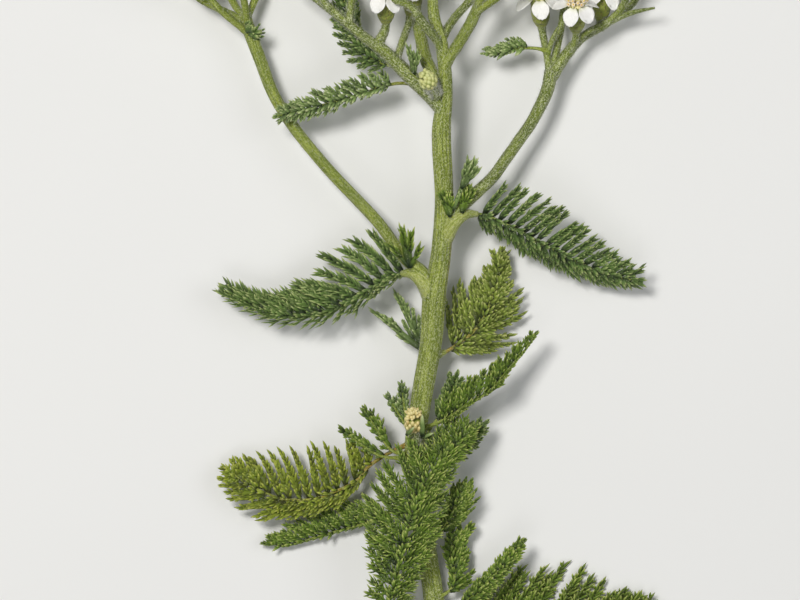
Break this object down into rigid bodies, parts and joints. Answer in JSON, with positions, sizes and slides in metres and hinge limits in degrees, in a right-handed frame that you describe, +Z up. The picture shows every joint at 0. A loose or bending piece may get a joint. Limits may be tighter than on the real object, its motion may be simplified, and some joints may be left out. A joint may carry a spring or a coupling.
{
  "type": "yarrow plant, one cut flowering stem with leaves, buds and flower heads",
  "caption": "Cut flowering stem with feathery cut leaves, side branches and flat-topped clusters of small white flower heads, lying on its side.",
  "frame": {"origin": "middle of the plant's footprint on the surface that it lies on", "axes": "+Y along the stem from its cut end towards the flower heads, +Z up from the surface"},
  "size_m": [0.0767, 0.122, 0.0224],
  "materials": {
    "stem": "woolly, matte",
    "branches": "woolly, matte",
    "flowers": "soft, matte",
    "dark_leaves": "matte",
    "green_leaves": "matte",
    "olive_leaves": "matte",
    "pale_leaves": "matte",
    "buds": "matte"
  },
  "bodies": {
    "root": {"bloom_01": "flowers", "bloom_02": "flowers", "bloom_03": "flowers", "bloom_04": "flowers", "bloom_05": "flowers", "bloom_06": "flowers", "bloom_07": "flowers", "bloom_08": "flowers", "bloom_09": "flowers", "bloom_10": "flowers", "bloom_11": "flowers", "bloom_12": "flowers", "bloom_13": "flowers", "bloom_14": "flowers", "bloom_15": "flowers", "bloom_16": "flowers", "bloom_17": "flowers", "bloom_18": "flowers", "bloom_19": "flowers", "bloom_20": "flowers", "bloom_21": "flowers", "bloom_22": "flowers", "bloom_23": "flowers", "bloom_24": "flowers", "bloom_25": "flowers", "bloom_26": "flowers", "bloom_27": "flowers", "bloom_28": "flowers", "bud_lower": "buds", "bud_upper": "buds", "leaf_axil_back": "green_leaves", "leaf_axil_left": "green_leaves", "leaf_back_left": "olive_leaves", "leaf_behind_branch": "dark_leaves", "leaf_broad_back": "olive_leaves", "leaf_curl_right": "pale_leaves", "leaf_dark_right": "dark_leaves", "leaf_fan_right": "green_leaves", "leaf_front": "dark_leaves", "leaf_front_right": "green_leaves", "leaf_large_right": "olive_leaves", "leaf_long_left": "dark_leaves", "leaf_long_right": "dark_leaves", "leaf_low_left": "green_leaves", "leaf_narrow_right": "olive_leaves", "leaf_pale_left": "pale_leaves", "leaf_short_right": "green_leaves", "leaf_small_right": "dark_leaves", "leaf_upper_left": "dark_leaves", "main_stem": "stem", "shoot_right": "dark_leaves", "shoot_upper_left": "dark_leaves", "spray_back": "branches", "spray_behind": "branches", "spray_crown": "branches", "spray_front": "branches", "spray_left": "branches", "spray_right": "branches", "spray_upper_left": "branches", "spray_upper_right": "branches"}
  },
  "joints": []
}
